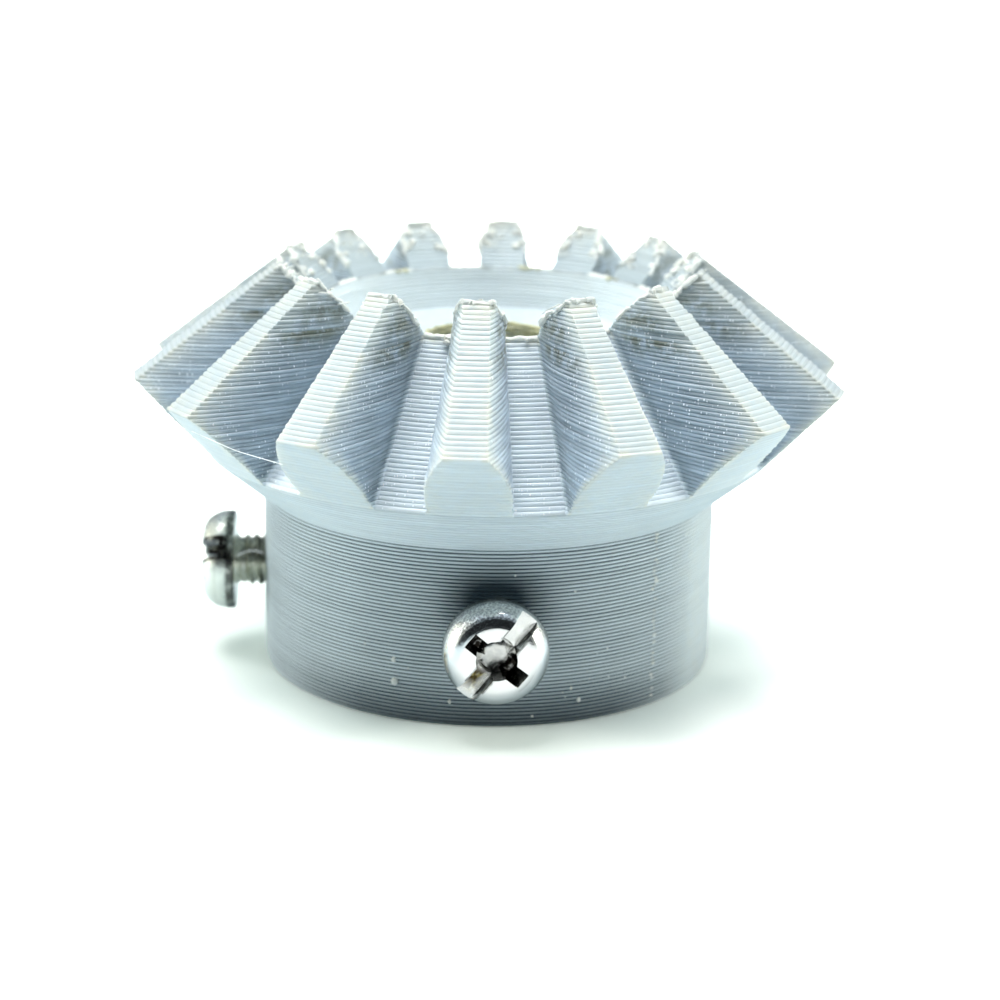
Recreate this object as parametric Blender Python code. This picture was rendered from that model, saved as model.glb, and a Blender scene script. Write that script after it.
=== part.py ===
"""Printed straight bevel gear with a round clamping hub, held on its shaft by two
radial M3 pan-head screws that run in captive nuts.

Frame: metres, +Z up the gear's axis, origin at the centre of the hub's underside.
Azimuths are measured about +Z from -Y (the front) towards +X. The teeth converge on
one apex above the gear, so every tooth section is the large-end section scaled about it.
Named sizes are in millimetres and angles in degrees.
"""
import bpy
import bmesh
from math import cos, pi, radians, sin, sqrt
from mathutils import Matrix, Vector

MM = 0.001

# ---- gear teeth -----------------------------------------------------------
TEETH = 14
TOOTH_PITCH = 360.0 / TEETH
TOOTH_AZIMUTH = -3.2            # centre of the tooth nearest the front
APEX_Z = 31.18                  # the pitch, root and tip cones all meet here
ROOT_LARGE = (15.80, 12.40)     # radius, height of the tooth root at the large end
TIP_LARGE = (19.50, 16.30)      # radius, height of the tooth tip at the large end
SMALL_END = 0.593               # small end of the tooth, as a scale about the apex

# Half widths are angles about the gear's axis. Shares of the tooth's depth run
# from 0 at the root to 1 at the tip.
FLANK_BODY = 7.62               # half width before the tooth narrows
FLANK_RELIEF = 4.30             # how much it narrows by the tip
FLANK_START = 0.22              # share of the depth where the narrowing begins
FLANK_POWER = 1.8
FLANK_MIN = 1.2                 # least half width, reached beyond the tip
ROOT_FILLET = 0.55              # extra half width at the very root
FILLET_SHARE = 0.09             # share of the depth the fillet takes up

GAP_SHARES = (0.0, 0.04, 0.09, 0.30, 0.50, 0.67, 0.83, 1.0, 1.25)
GAP_FLOOR_FRACTIONS = (-0.5, 0.0, 0.5)  # floor points, across the gap's half width
GAP_END_SCALES = (1.15, 0.50)   # the gap cutters overrun both ends of the teeth

# ---- hub, pocket and bore -------------------------------------------------
HUB_R = 12.50
HUB_H = 9.70
HUB_CHAMFER = 0.25
BORE_R = 3.50
POCKET_TOP_R = 9.20
POCKET_FLOOR_R = 8.40
POCKET_FLOOR_Z = 17.90
GEAR_SEGMENTS = TEETH * 6
GEAR_SHARP_ANGLE = 24

HOLE_R = 1.60                   # radial screw hole in the hub
HOLE_OVERRUN = 2.0              # hole cutter past the hub wall, inside and outside
HOLE_SEGMENTS = 32

# ---- set screws (M3 x 10, pan head, slot and cross recess) ----------------
FRONT_AZIMUTH = 2.1
# tag, azimuth, height of the axis, angle the driver slot stands up from level
SCREWS = (
    ("front", FRONT_AZIMUTH, 4.87, 51.0),
    ("side", FRONT_AZIMUTH - 90.0, 5.12, 26.0),
)
SEAT_R = 14.13                  # gear axis to the underside of the head, as set
SHANK_R = 1.50
SHANK_LEN = 10.0
SHANK_CHAMFER = 0.25            # at the shank's end
THREAD_ROOT_R = SHANK_R - 0.28
THREAD_PITCH = 0.50
NECK_LEN = 0.75                 # unthreaded, under the head
HEAD_R = 2.75
HEAD_H = 1.85                   # to the top of the rounded shoulder
HEAD_TOP = HEAD_H + 0.02        # to the middle of the shallow dome
RIM_H = HEAD_H * 0.22           # upright part of the head's side
DOME_R = HEAD_R * 0.60          # where the shoulder meets the dome
SHOULDER_STEPS = 5
SCREW_SEGMENTS = 20
SCREW_SHARP_ANGLE = 40

SLOT_LEN = HEAD_R * 2.6         # runs out past both sides of the head
SLOT_W = 0.90
SLOT_DEPTH = 0.75
CROSS_W = 0.78
CROSS_R = 1.62                  # reach of the cross arm from the screw's axis
CROSS_DEPTH = 1.25
CROSS_TAPER = 0.42              # scale of the cross arm at its bottom

# ---- captive nuts ---------------------------------------------------------
NUT_AF = 5.50                   # across flats
NUT_T = 2.40
NUT_R = 8.25                    # gear axis to the nut's mid plane
NUT_HOLE_R = 1.58
NUT_BEVEL = 0.12
NUT_BEVEL_ANGLE = 50            # edges sharper than this are bevelled
NUT_GAP = 0.10                  # clearance of the nut in its slot, all round
NUT_SLOT_OVERRUN = 1.0          # slot cutter past the hub's underside


# ---- general helpers ------------------------------------------------------
def make_material(name, colour, roughness, metallic):
    material = bpy.data.materials.new(name)
    material.use_nodes = True
    inputs = material.node_tree.nodes["Principled BSDF"].inputs
    inputs["Base Color"].default_value = (*colour, 1.0)
    inputs["Roughness"].default_value = roughness
    inputs["Metallic"].default_value = metallic
    material.diffuse_color = (*colour, 1.0)
    return material


def to_object(name, shape, material=None):
    """Turn a bmesh into a scene object and free it."""
    bmesh.ops.recalc_face_normals(shape, faces=shape.faces)
    mesh = bpy.data.meshes.new(name)
    shape.to_mesh(mesh)
    shape.free()
    if material:
        mesh.materials.append(material)
    obj = bpy.data.objects.new(name, mesh)
    bpy.context.scene.collection.objects.link(obj)
    return obj


def smooth(obj, sharp_angle):
    obj.data.shade_smooth()
    obj.data.set_sharp_from_angle(angle=radians(sharp_angle))


def lathe(name, profile, segments, material=None, closed=False):
    """Spin (radius, height) points about local Z."""
    shape = bmesh.new()
    verts = [shape.verts.new((radius * MM, 0, z * MM)) for radius, z in profile]
    chain = verts + verts[:1] if closed else verts
    edges = [shape.edges.new(pair) for pair in zip(chain, chain[1:])]
    bmesh.ops.spin(shape, geom=verts + edges, cent=(0, 0, 0), axis=(0, 0, 1),
                   dvec=(0, 0, 0), angle=2 * pi, steps=segments, use_merge=True)
    bmesh.ops.remove_doubles(shape, verts=shape.verts, dist=1e-7)
    return to_object(name, shape, material)


def cylinder(name, radius, bottom, top, segments):
    """A solid cylinder along local Z."""
    profile = [(0, bottom), (radius, bottom), (radius, top), (0, top)]
    return lathe(name, profile, segments)


def box(name, size, centre_z, taper=1.0):
    """A box centred on local Z; taper scales its -Z end."""
    shape = bmesh.new()
    bmesh.ops.create_cube(shape, size=1.0)
    for vert in shape.verts:
        x, y, z = vert.co
        scale = taper if z < 0 else 1.0
        vert.co = Vector((x * size[0] * scale, y * size[1] * scale, z * size[2] + centre_z)) * MM
    return to_object(name, shape)


def prism(name, outline, bottom, top):
    """A prism along local Z over a list of (x, y) points."""
    shape = bmesh.new()
    base = shape.faces.new([shape.verts.new((x * MM, y * MM, bottom * MM)) for x, y in outline])
    extruded = bmesh.ops.extrude_face_region(shape, geom=[base])
    for item in extruded["geom"]:
        if isinstance(item, bmesh.types.BMVert):
            item.co.z = top * MM
    return to_object(name, shape)


def cut(obj, cutter, place=None):
    """Subtract a cutter from an object, first moving the cutter to a frame if given."""
    if place:
        cutter.matrix_world = place
    cutter.hide_render = True
    cutter.display_type = "WIRE"
    modifier = obj.modifiers.new(cutter.name, "BOOLEAN")
    modifier.operation = "DIFFERENCE"
    modifier.solver = "EXACT"
    modifier.object = cutter


def radial(azimuth, radius, height, turn=0.0):
    """A frame with +Z outward along a radius and +Y up; turn rolls it about its +Z."""
    angle = radians(azimuth)
    outward = Vector((sin(angle), -cos(angle), 0))
    side = Vector((cos(angle), sin(angle), 0))
    up = Vector((0, 0, 1))
    place = Matrix.Translation((outward * radius + up * height) * MM)
    basis = Matrix((side, up, outward)).transposed().to_4x4()
    return place @ basis @ Matrix.Rotation(radians(turn), 4, "Z")


# ---- tooth form -----------------------------------------------------------
def towards_apex(radius, z, scale):
    """Scale a (radius, height) point about the apex."""
    return radius * scale, APEX_Z + (z - APEX_Z) * scale


def half_width(share):
    """Half the tooth's width in degrees, at a share of its depth from the root."""
    relief = max(0.0, (share - FLANK_START) / (1 - FLANK_START)) ** FLANK_POWER
    fillet = max(0.0, 1 - share / FILLET_SHARE) ** 2
    return max(FLANK_MIN, FLANK_BODY - FLANK_RELIEF * relief + ROOT_FILLET * fillet)


def on_tooth(share, azimuth, scale):
    """A point on the tooth's large-end cone, scaled towards the apex."""
    radius, z = towards_apex(
        ROOT_LARGE[0] + share * (TIP_LARGE[0] - ROOT_LARGE[0]),
        ROOT_LARGE[1] + share * (TIP_LARGE[1] - ROOT_LARGE[1]),
        scale)
    angle = radians(azimuth)
    return Vector((radius * sin(angle), -radius * cos(angle), z)) * MM


def gap_section():
    """One gap's outline as (share of depth, degrees from the gap's centre)."""
    flank = [(share, TOOTH_PITCH / 2 - half_width(share)) for share in GAP_SHARES]
    opposite = [(share, -offset) for share, offset in reversed(flank)]
    floor = [(0.0, flank[0][1] * fraction) for fraction in GAP_FLOOR_FRACTIONS]
    return opposite + floor + flank


def close_gap_end(shape, loop):
    """Close one end in symmetrical strips across the gap, with a triangle at the floor."""
    middle = len(loop) // 2
    for i in range(middle - 1):
        shape.faces.new((loop[i], loop[i + 1], loop[-2 - i], loop[-1 - i]))
    shape.faces.new(loop[middle - 1:middle + 2])


def gap_cutters():
    """The tapering gaps between the teeth, as one cutter."""
    section = gap_section()
    count = len(section)
    shape = bmesh.new()
    for n in range(TEETH):
        centre = TOOTH_AZIMUTH + TOOTH_PITCH * (n + 0.5)
        large, small = [
            [shape.verts.new(on_tooth(share, centre + offset, scale))
             for share, offset in section]
            for scale in GAP_END_SCALES]
        for i in range(count):
            j = (i + 1) % count
            shape.faces.new((large[i], large[j], small[j], small[i]))
        close_gap_end(shape, large)
        close_gap_end(shape, small)
    bmesh.ops.triangulate(shape, faces=shape.faces)
    return to_object("tooth_gap_cutter", shape)


# ---- gear -----------------------------------------------------------------
def gear_blank(material):
    """The gear before its tooth gaps, screw holes and nut slots are cut."""
    small_root = towards_apex(*ROOT_LARGE, SMALL_END)
    small_tip = towards_apex(*TIP_LARGE, SMALL_END)
    # the small-end face carries on inward from the root to the pocket's rim
    slope = (TIP_LARGE[1] - ROOT_LARGE[1]) / (TIP_LARGE[0] - ROOT_LARGE[0])
    rim_z = small_root[1] - (small_root[0] - POCKET_TOP_R) * slope
    profile = [
        (BORE_R, 0.0),
        (HUB_R - HUB_CHAMFER, 0.0),
        (HUB_R, HUB_CHAMFER),
        (HUB_R, HUB_H),
        ROOT_LARGE,
        TIP_LARGE,
        small_tip,
        small_root,
        (POCKET_TOP_R, rim_z),
        (POCKET_FLOOR_R, POCKET_FLOOR_Z),
        (BORE_R, POCKET_FLOOR_Z),
    ]
    return lathe("gear_body", profile, GEAR_SEGMENTS, material, closed=True)


def nut_slot_cutter(name, height):
    """A slot open at the underside, with a pointed top that follows the nut's corner."""
    half = NUT_AF / 2 + NUT_GAP
    corner = half * 2 / sqrt(3)
    bottom = -height - NUT_SLOT_OVERRUN
    outline = [(-half, bottom), (half, bottom), (half, corner / 2), (0, corner),
               (-half, corner / 2)]
    reach = NUT_T / 2 + NUT_GAP
    return prism(name, outline, NUT_R - reach, NUT_R + reach)


def gear_body(material):
    gear = gear_blank(material)
    cut(gear, gap_cutters())
    for tag, azimuth, height, _ in SCREWS:
        place = radial(azimuth, 0, height)
        hole = cylinder(f"{tag}_hole_cutter", HOLE_R, BORE_R - HOLE_OVERRUN,
                        HUB_R + HOLE_OVERRUN, HOLE_SEGMENTS)
        cut(gear, hole, place)
        cut(gear, nut_slot_cutter(f"{tag}_nut_slot_cutter", height), place)
    smooth(gear, GEAR_SHARP_ANGLE)


# ---- screws ---------------------------------------------------------------
def shank_profile():
    """The shank from its end up to the head, its thread drawn as separate rings."""
    profile = [(0.0, -SHANK_LEN), (THREAD_ROOT_R - SHANK_CHAMFER, -SHANK_LEN)]
    z = -SHANK_LEN + SHANK_CHAMFER
    while z < -NECK_LEN:
        profile += [(THREAD_ROOT_R, z), (SHANK_R, z + THREAD_PITCH / 2)]
        z += THREAD_PITCH
    return profile + [(THREAD_ROOT_R, z), (THREAD_ROOT_R, 0.0)]


def head_profile():
    """A flat underside, an upright rim, a rounded shoulder and a shallow dome."""
    profile = [(HEAD_R, 0.0), (HEAD_R, RIM_H)]
    for i in range(1, SHOULDER_STEPS + 1):
        angle = (pi / 2) * i / SHOULDER_STEPS
        profile.append((DOME_R + (HEAD_R - DOME_R) * cos(angle),
                        RIM_H + (HEAD_H - RIM_H) * sin(angle)))
    return profile + [(0.0, HEAD_TOP)]


def set_screw(tag, azimuth, height, turn, material):
    """A screw along a radius, the underside of its head at its origin."""
    name = f"{tag}_set_screw"
    screw = lathe(name, shank_profile() + head_profile(), SCREW_SEGMENTS, material)
    place = radial(azimuth, SEAT_R, height, turn)
    screw.matrix_world = place
    # the cutters are centred on the head's top, so only half their height cuts
    slot = box(f"{name}_slot_cutter", (SLOT_LEN, SLOT_W, SLOT_DEPTH * 2), HEAD_TOP)
    cut(screw, slot, place)
    cross_arm = box(f"{name}_cross_cutter", (CROSS_W, CROSS_R * 2, CROSS_DEPTH * 2),
                    HEAD_TOP, taper=CROSS_TAPER)
    cut(screw, cross_arm, place)
    smooth(screw, SCREW_SHARP_ANGLE)


# ---- nuts -----------------------------------------------------------------
def captive_nut(tag, azimuth, height, material):
    """A hexagon nut with a corner pointing up and two flats upright."""
    name = f"{tag}_captive_nut"
    corner = NUT_AF / sqrt(3)
    shape = bmesh.new()
    # the primitive has a corner on its local Y, which the radial frame points up
    bmesh.ops.create_cone(shape, cap_ends=True, segments=6, radius1=corner * MM,
                          radius2=corner * MM, depth=NUT_T * MM)
    nut = to_object(name, shape, material)
    place = radial(azimuth, NUT_R, height)
    nut.matrix_world = place
    hole = cylinder(f"{name}_hole_cutter", NUT_HOLE_R, -NUT_T, NUT_T, SCREW_SEGMENTS)
    cut(nut, hole, place)
    edge = nut.modifiers.new("edge", "BEVEL")
    edge.width = NUT_BEVEL * MM
    edge.segments = 1
    edge.limit_method = "ANGLE"
    edge.angle_limit = radians(NUT_BEVEL_ANGLE)


def build():
    for obj in list(bpy.data.objects):
        bpy.data.objects.remove(obj, do_unlink=True)
    plastic = make_material("grey_plastic", colour=(0.33, 0.39, 0.41),
                            roughness=0.42, metallic=0.0)
    plated = make_material("plated_steel", colour=(0.78, 0.77, 0.73),
                           roughness=0.22, metallic=1.0)
    zinc = make_material("zinc_steel", colour=(0.62, 0.63, 0.64),
                         roughness=0.35, metallic=1.0)
    gear_body(plastic)
    for tag, azimuth, height, turn in SCREWS:
        set_screw(tag, azimuth, height, turn, plated)
    for tag, azimuth, height, _ in SCREWS:
        captive_nut(tag, azimuth, height, zinc)
    bpy.context.view_layer.update()


build()
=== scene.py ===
"""Looks for the printed bevel gear: printed layers as real geometry, plated screws, plain white table."""

import math

import bmesh
import bpy
import numpy as np
from mathutils import Matrix, Vector


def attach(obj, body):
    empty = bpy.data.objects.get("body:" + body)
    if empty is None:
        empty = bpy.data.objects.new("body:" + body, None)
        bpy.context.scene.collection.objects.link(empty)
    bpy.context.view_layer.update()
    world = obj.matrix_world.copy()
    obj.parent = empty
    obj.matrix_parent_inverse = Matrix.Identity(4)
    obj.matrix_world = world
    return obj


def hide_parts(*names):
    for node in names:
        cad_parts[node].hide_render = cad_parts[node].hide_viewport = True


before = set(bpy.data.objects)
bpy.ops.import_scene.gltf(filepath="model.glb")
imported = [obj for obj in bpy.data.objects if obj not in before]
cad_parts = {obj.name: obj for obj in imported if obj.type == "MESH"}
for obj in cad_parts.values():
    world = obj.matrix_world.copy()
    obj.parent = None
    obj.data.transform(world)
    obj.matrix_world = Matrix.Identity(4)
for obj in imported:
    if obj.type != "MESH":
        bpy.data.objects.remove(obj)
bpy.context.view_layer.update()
rng = np.random.default_rng(11)
MM = 0.001

# ---------------------------------------------------------------- dimensions, in mm and degrees
TEETH = 14
PITCH = 360.0 / TEETH
TOOTH_AZ = -3.2
APEX = 31.18
ROOT_R, ROOT_Z = 15.80, 12.40
TIP_R, TIP_Z = 19.50, 16.30
SMALL = 0.593
HUB_R, HUB_H = 12.50, 9.70
BORE_R = 3.50
POCKET_TOP_R, POCKET_FLOOR_R, POCKET_FLOOR_Z = 9.20, 8.40, 17.90
LAYER = 0.20
RIM_Z = 20.0
FRONT_AZ, FRONT_Z = 2.1, 4.87
SIDE_AZ, SIDE_Z = FRONT_AZ - 90.0, 5.12
SEAT_R = 14.13
HEAD_R, HEAD_H = 2.75, 1.85
HOLE_R = 1.60
NUT_AF, NUT_T, NUT_R, NUT_GAP = 5.50, 2.40, 8.25, 0.10


def half_width(t):
    t = np.asarray(t, float)
    relief = np.maximum(0.0, (t - 0.22) / 0.78) ** 1.8
    fillet = np.maximum(0.0, 1 - t / 0.09) ** 2
    return np.maximum(1.2, 7.62 - 4.30 * relief + 0.55 * fillet)


def tooth_radius(t, z):
    t = np.asarray(t, float)
    scale = (APEX - z) / (APEX - (ROOT_Z + (TIP_Z - ROOT_Z) * t))
    return (ROOT_R + (TIP_R - ROOT_R) * t) * scale


def polar(r, deg):
    a = np.radians(deg)
    return np.stack([r * np.sin(a), -r * np.cos(a)], -1)


def radial(azimuth, radius=0.0, height=0.0, turn=0.0):
    a = math.radians(azimuth)
    out = Vector((math.sin(a), -math.cos(a), 0))
    side = Vector((math.cos(a), math.sin(a), 0))
    place = Matrix.Translation((out * radius + Vector((0, 0, height))) * MM)
    basis = Matrix((side, Vector((0, 0, 1)), out)).transposed().to_4x4()
    return place @ basis @ Matrix.Rotation(math.radians(turn), 4, "Z")


# ---------------------------------------------------------------- mesh building
class Shape:
    """Vertices in mm, faces and paint weights, gathered and then turned into one mesh."""

    def __init__(self):
        self.verts, self.faces, self.count = [], [], 0
        # one of the paint weights is painted shade, which darkens the colour wherever it is set
        self.paint = {"cream": [], "soot": [], "painted_shade": [], "pale": [], "cool": []}

    def add(self, verts, faces, cream=0.0, soot=0.0, painted_shade=0.0, pale=0.0, cool=0.0):
        verts = np.asarray(verts, float).reshape(-1, 3)
        n = len(verts)
        self.verts.append(verts)
        self.faces += [tuple(int(i) + self.count for i in f) for f in faces]
        for label, weight in (("cream", cream), ("soot", soot), ("painted_shade", painted_shade), ("pale", pale), ("cool", cool)):
            self.paint[label].append(np.broadcast_to(np.asarray(weight, float), (n,)).copy())
        self.count += n

    def grid(self, rows, closed=True, cream=0.0, soot=0.0, flip=False, keep=None, painted_shade=0.0, pale=0.0, cool=0.0):
        """rows: (rows, points, 3), joined as quads. keep: a (rows, points) mask of usable vertices."""
        rows = np.asarray(rows, float)
        m, n = rows.shape[:2]
        index = np.arange(m * n).reshape(m, n)
        nxt = np.roll(index, -1, 1) if closed else index[:, 1:]
        here = index if closed else index[:, :-1]
        a, b, c, d = here[:-1], nxt[:-1], nxt[1:], here[1:]
        quads = np.stack([a, b, c, d] if not flip else [d, c, b, a], -1).reshape(-1, 4)
        if keep is not None:
            ok = keep.reshape(-1)
            quads = quads[ok[quads].any(1)]
        paint = [np.broadcast_to(np.asarray(w, float), (m, n)).reshape(-1)
                 for w in (cream, soot, painted_shade, pale, cool)]
        self.add(rows.reshape(-1, 3), quads, *paint)

    def tube(self, points, radius, sides=6, cream=0.4, soot=0.0):
        pts = np.asarray(points, float)
        radius = np.broadcast_to(np.asarray(radius, float), (len(pts),))
        tan = np.gradient(pts, axis=0)
        tan /= np.linalg.norm(tan, axis=1, keepdims=True) + 1e-12
        ref = np.array([0.13, 0.21, 0.97])
        u = np.cross(tan, ref)
        u /= np.linalg.norm(u, axis=1, keepdims=True) + 1e-12
        v = np.cross(tan, u)
        a = np.linspace(0, 2 * np.pi, sides, endpoint=False)
        rows = pts[:, None] + radius[:, None, None] * (
            u[:, None] * np.cos(a)[None, :, None] + v[:, None] * np.sin(a)[None, :, None])
        base = self.count
        self.grid(rows, True, cream, soot)
        last = base + (len(pts) - 1) * sides
        self.faces.append(tuple(base + i for i in range(sides)))
        self.faces.append(tuple(last + i for i in reversed(range(sides))))

    def blob(self, centre, size, cream=0.4, soot=0.0, rings=6, sides=9, facing=None):
        """A lumpy ball, flattened by size along each axis. facing: an azimuth its second axis points along."""
        th = np.linspace(0.02, np.pi - 0.02, rings)
        ph = np.linspace(0, 2 * np.pi, sides, endpoint=False)
        lump = 1 + 0.13 * rng.standard_normal((rings, sides))
        x = np.sin(th)[:, None] * np.cos(ph)[None] * lump
        y = np.sin(th)[:, None] * np.sin(ph)[None] * lump
        z = np.cos(th)[:, None] * lump
        rows = np.stack([x, y, z], -1) * np.asarray(size, float)
        if facing is not None:
            a = np.radians(facing)
            rows = np.stack([rows[..., 0] * np.cos(a) - rows[..., 1] * np.sin(a),
                             rows[..., 0] * np.sin(a) + rows[..., 1] * np.cos(a), rows[..., 2]], -1)
        rows = rows + np.asarray(centre, float)
        base = self.count
        self.grid(rows, True, cream, soot)
        self.faces.append(tuple(base + i for i in range(sides)))
        last = base + (rings - 1) * sides
        self.faces.append(tuple(last + i for i in reversed(range(sides))))

    def build(self, name, mat, sharp=40.0, outward=True):
        mesh = bpy.data.meshes.new(name)
        mesh.from_pydata((np.concatenate(self.verts) * MM).tolist(), [], self.faces)
        for label, values in self.paint.items():
            attr = mesh.attributes.new(label, "FLOAT", "POINT")
            attr.data.foreach_set("value", np.concatenate(values).astype(np.float32))
        mesh.validate()
        if outward:
            bm = bmesh.new()
            bm.from_mesh(mesh)
            bmesh.ops.recalc_face_normals(bm, faces=bm.faces)
            bm.to_mesh(mesh)
            bm.free()
        mesh.materials.append(mat)
        mesh.shade_smooth()
        mesh.set_sharp_from_angle(angle=math.radians(sharp))
        obj = bpy.data.objects.new(name, mesh)
        bpy.context.scene.collection.objects.link(obj)
        return obj


def normals_2d(xy):
    """Outward unit normals of closed counter-clockwise or clockwise outlines (rows, points, 2)."""
    tan = np.roll(xy, -1, 1) - np.roll(xy, 1, 1)
    nrm = np.stack([tan[..., 1], -tan[..., 0]], -1)
    nrm /= np.linalg.norm(nrm, axis=-1, keepdims=True) + 1e-9
    area = (xy[..., 0] * np.roll(xy[..., 1], -1, 1) - np.roll(xy[..., 0], -1, 1) * xy[..., 1]).sum(1)
    return nrm * np.sign(area)[:, None, None]


BEAD_Z = np.array([0.0, 0.09, 0.32, 0.68, 0.91, 1.0])
BEAD_IN = np.array([1.0, 0.5, 0.07, 0.07, 0.5, 1.0])
BEAD_SHADE = np.array([1.0, 0.45, 0.0, 0.0, 0.05, 0.15])
RPB = len(BEAD_Z)


STEP = 0.45


def beads(outlines, z_low, depth, peak=None, height=LAYER, ease=1.0):
    """Layer outlines (layers, points, 2), or one for each row of each layer (layers, RPB, points, 2),
    into bead rows (layers * RPB, points, 3). ease: how deep the notch is at each point, as a share."""
    if outlines.ndim == 3:
        outlines = np.repeat(outlines[:, None], RPB, 1)
    layers, _, n = outlines.shape[:3]
    nrm = normals_2d(outlines[:, RPB // 2])
    rows = np.zeros((layers, RPB, n, 3))
    peak = np.zeros(layers) if peak is None else peak
    for i in range(RPB):
        inset = (depth * BEAD_IN[i])[:, None] * ease - peak[:, None]
        rows[:, i, :, :2] = outlines[:, i] - nrm * inset[..., None]
        rows[:, i, :, 2] = (z_low + BEAD_Z[i] * height)[:, None]
    return rows.reshape(layers * RPB, n, 3)


def wobble(n, layers, size, waves=5):
    """Slow waviness around each layer, a little different on each."""
    a = np.linspace(0, 2 * np.pi, n, endpoint=False)
    out = np.zeros((layers, n))
    for k in range(2, 2 + waves):
        amp = rng.normal(0, size / waves, layers)[:, None]
        out += amp * np.sin(k * a[None] + rng.uniform(0, 6.28, layers)[:, None])
    return out


# ---------------------------------------------------------------- materials
SCATTER = 0.30


def new_material(name):
    mat = bpy.data.materials.new(name)
    mat.use_nodes = True
    return mat, mat.node_tree.nodes, mat.node_tree.links, mat.node_tree.nodes["Principled BSDF"]


def math_node(N, L, op, a, b=None, clamp=False):
    node = N.new("ShaderNodeMath")
    node.operation = op
    node.use_clamp = clamp
    for i, v in enumerate((a, b)):
        if v is None:
            continue
        if isinstance(v, (int, float)):
            node.inputs[i].default_value = v
        else:
            L.new(v, node.inputs[i])
    return node.outputs[0]


def mix_colour(N, L, fac, a, b, blend="MIX"):
    node = N.new("ShaderNodeMix")
    node.data_type = "RGBA"
    node.blend_type = blend
    for socket, v in ((0, fac), (6, a), (7, b)):
        if isinstance(v, (int, float)):
            node.inputs[socket].default_value = v
        elif isinstance(v, tuple):
            node.inputs[socket].default_value = (*v, 1.0)
        else:
            L.new(v, node.inputs[socket])
    return node.outputs[2]


def noise(N, L, vector, scale, detail=2.0, rough=0.5, distort=0.0):
    node = N.new("ShaderNodeTexNoise")
    node.inputs["Scale"].default_value = scale
    node.inputs["Detail"].default_value = detail
    node.inputs["Roughness"].default_value = rough
    node.inputs["Distortion"].default_value = distort
    L.new(vector, node.inputs["Vector"])
    return node.outputs["Fac"]


def ramp(N, L, value, low, high):
    node = N.new("ShaderNodeMapRange")
    node.inputs["From Min"].default_value = low
    node.inputs["From Max"].default_value = high
    L.new(value, node.inputs["Value"])
    return node.outputs["Result"]


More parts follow.
